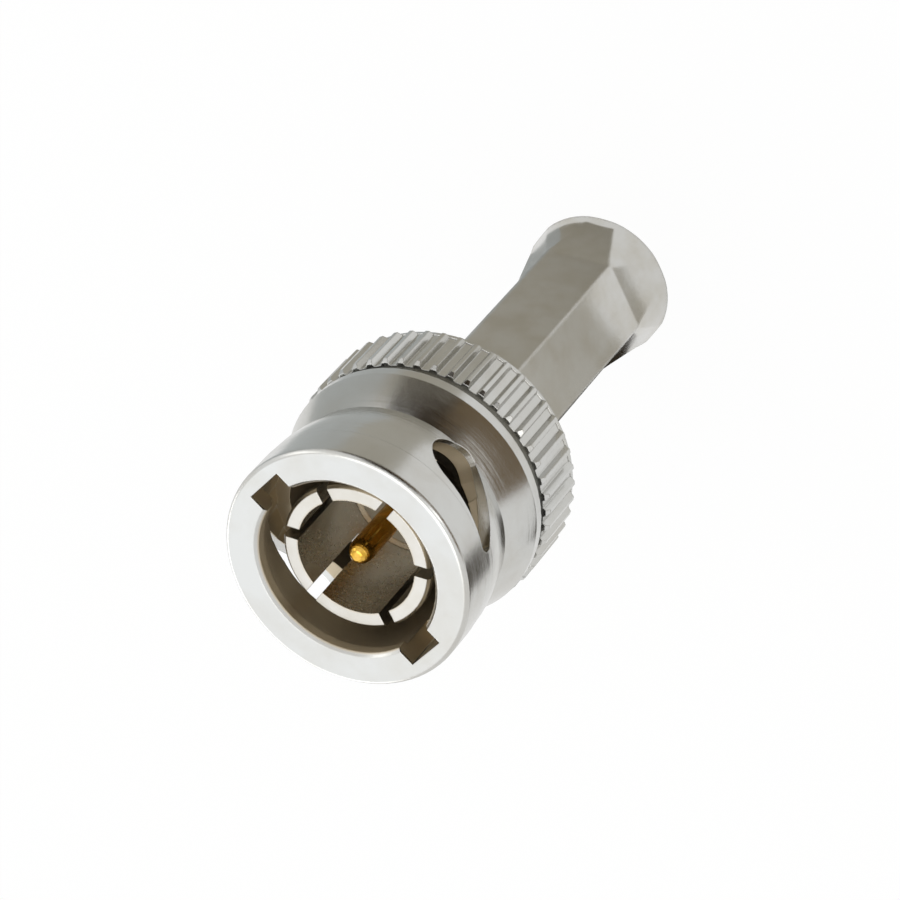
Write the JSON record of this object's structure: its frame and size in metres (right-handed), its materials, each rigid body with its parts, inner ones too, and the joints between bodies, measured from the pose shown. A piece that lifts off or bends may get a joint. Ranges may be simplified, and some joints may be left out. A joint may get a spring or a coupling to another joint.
{
  "type": "bnc connector",
  "caption": "Crimp-on bayonet plug for thin coaxial cable: knurled quarter-turn coupling nut, slotted outer contact, gold centre pin and hex-crimped sleeve",
  "frame": {"origin": "centre of the crimp sleeve's rear rim, the lowest plane of the part", "axes": "+Z along the plug's axis out of the mating end; +X through one of the two lug entries in the coupling nut's mouth; +Y completes the right-handed frame"},
  "size_m": [0.0144, 0.0144, 0.0326],
  "materials": {
    "nickel_plate": "machined brass with bright nickel plate",
    "nickel_plate_bright": "bright nickel plate on spring brass",
    "nickel_plate_sleeve": "soft brass tube, nickel plated, crimped",
    "gold_plate": "gold plate on brass",
    "white_insulator": "white fluoropolymer",
    "silicone_rubber": "soft dark silicone",
    "spring_steel": "plain stainless spring steel"
  },
  "bodies": {
    "plug": {"plug_body": "nickel_plate", "outer_contact": "nickel_plate_bright", "centre_pin": "gold_plate", "front_insulator": "white_insulator", "rear_insulator": "white_insulator", "gasket": "silicone_rubber", "front_thrust_washer": "spring_steel", "wave_washer": "spring_steel", "crimp_sleeve": "nickel_plate_sleeve"},
    "nut_carrier": {"rear_thrust_washer": "spring_steel", "retaining_ring": "spring_steel"},
    "nut": {"coupling_nut": "nickel_plate"}
  },
  "joints": [
    {"name": "nut_slide", "type": "slide", "parent": "plug", "child": "nut_carrier", "axis": [0, 0, 1], "range_m": [0, 0.001], "stiffness_N_per_m": 15000, "springref_m": -0.0002, "deforming": ["wave_washer"]},
    {"name": "nut_turn", "type": "hinge", "parent": "nut_carrier", "child": "nut", "pos_m": [0, 0, 0.0266], "axis": [0, 0, 1], "continuous": true}
  ]
}
